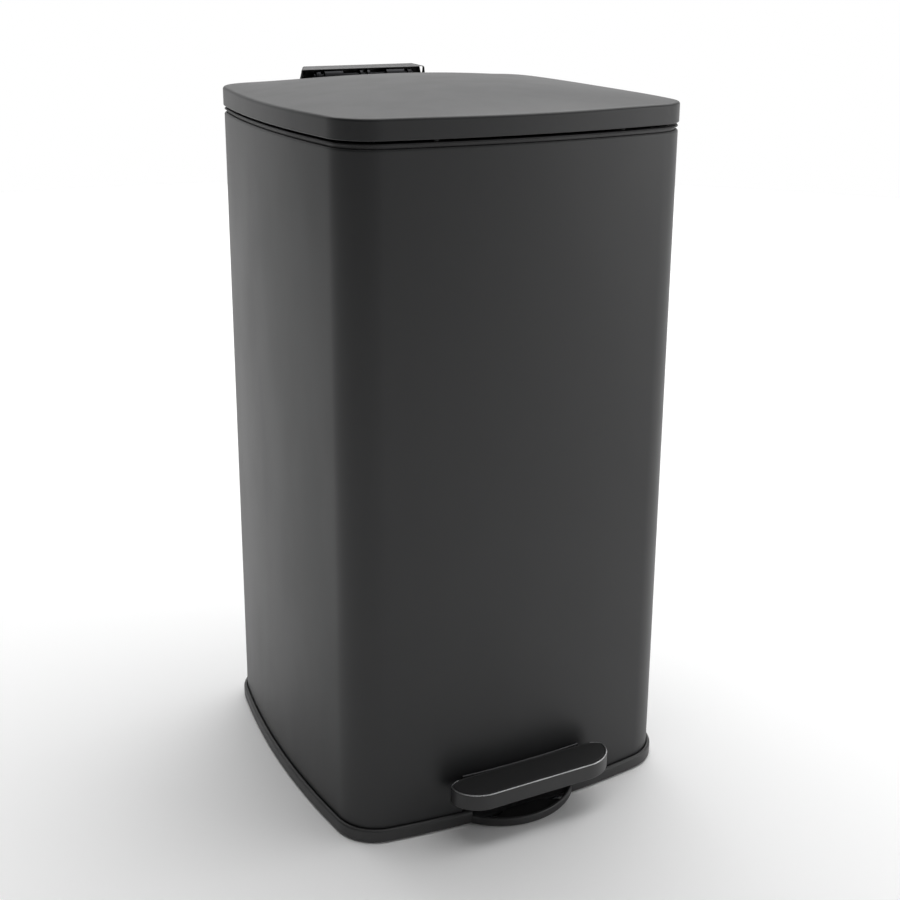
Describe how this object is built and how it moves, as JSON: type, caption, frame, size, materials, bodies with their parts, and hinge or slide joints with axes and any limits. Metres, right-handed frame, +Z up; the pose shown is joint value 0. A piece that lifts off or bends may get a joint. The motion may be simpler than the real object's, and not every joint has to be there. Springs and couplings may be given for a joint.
{
  "type": "pedal trash can",
  "caption": "Upright rectangular pedal bin with bowed sides: a foot pedal lifts a hinged domed lid through a rod, over a lift-out bucket with a bail.",
  "frame": {"origin": "on the floor, under the middle of the whole object's box, from the pedal's front edge to the hinge cover's back", "axes": "+Z up and the longest extent; the pedal faces -Y, the hinge is at +Y, +X is to the right seen from the pedal"},
  "size_m": [0.3246, 0.371, 0.5997],
  "materials": {
    "black_coat": "matte charcoal-black powder coat, fine grain",
    "black_plastic": "moulded black, fine texture",
    "satin_plastic": "satin black moulded plastic",
    "bucket_plastic": "moulded dark grey bucket, satin",
    "black_rubber": "matte rubber",
    "tread_rubber": "fine ribbed rubber",
    "grey_trim": "pale edge strip",
    "bright_trim": "thin bright edge",
    "zinc_steel": "zinc-plated steel"
  },
  "bodies": {
    "bin": {"body_shell": "black_coat", "rim_ring": "black_plastic", "base_ring": "black_plastic", "foot_web": "black_rubber", "base_deck": "black_plastic", "deck_screws": "zinc_steel", "rubber_feet": "black_rubber", "slot_trim": "grey_trim", "axle_blocks": "black_plastic", "axle_block_screws": "zinc_steel", "pedal_axle": "zinc_steel", "axle_clips": "zinc_steel", "rod_guides": "black_plastic", "guide_screws": "zinc_steel", "damper_cylinder": "zinc_steel", "damper_cap": "black_plastic", "damper_saddle": "black_plastic", "hinge_frame": "zinc_steel", "hinge_screws": "zinc_steel", "hinge_pin": "zinc_steel", "hinge_pin_clips": "zinc_steel", "hinge_cover": "satin_plastic", "cover_screws": "zinc_steel"},
    "lid": {"lid_shell": "black_coat", "lid_liner": "black_plastic", "lid_bracket": "zinc_steel", "bracket_screws": "zinc_steel", "crank_pin": "zinc_steel", "lid_bumpers": "black_rubber"},
    "pedal": {"pedal_lever": "zinc_steel", "pedal_pad": "satin_plastic", "pedal_tread": "tread_rubber", "pedal_trim": "bright_trim", "pad_rivets": "zinc_steel"},
    "lifter": {"lift_rod": "zinc_steel", "rod_foot": "black_plastic", "rod_foot_pin": "zinc_steel", "rod_head": "zinc_steel", "damper_piston": "zinc_steel", "damper_clamp": "black_plastic"},
    "bucket": {"inner_bucket": "bucket_plastic"},
    "bail": {"bucket_bail": "zinc_steel", "bail_grip": "black_plastic"}
  },
  "joints": [
    {"name": "lid_hinge", "type": "hinge", "parent": "bin", "child": "lid", "pos_m": [0, 0.17312, 0.59001], "axis": [-1, 0, 0], "range_deg": [0, 75]},
    {"name": "pedal_tilt", "type": "hinge", "parent": "bin", "child": "pedal", "pos_m": [0, -0.03092, 0.024], "axis": [1, 0, 0], "range_deg": [0, 9.06]},
    {"name": "lift_rod_slide", "type": "slide", "parent": "bin", "child": "lifter", "axis": [0, 0, 1], "range_m": [0, 0.02924]},
    {"name": "bucket_lift", "type": "slide", "parent": "bin", "child": "bucket", "axis": [0, 0, 1], "range_m": [0, 0.012]},
    {"name": "bail_swing", "type": "hinge", "parent": "bucket", "child": "bail", "pos_m": [0, 0.00028, 0.5324], "axis": [-1, 0, 0], "range_deg": [0, 9]}
  ],
  "couplings": [
    {"joint": "pedal_tilt", "follows": "lid_hinge", "ratio": 0.12079},
    {"joint": "lift_rod_slide", "follows": "lid_hinge", "m_per_rad": 0.022323}
  ]
}
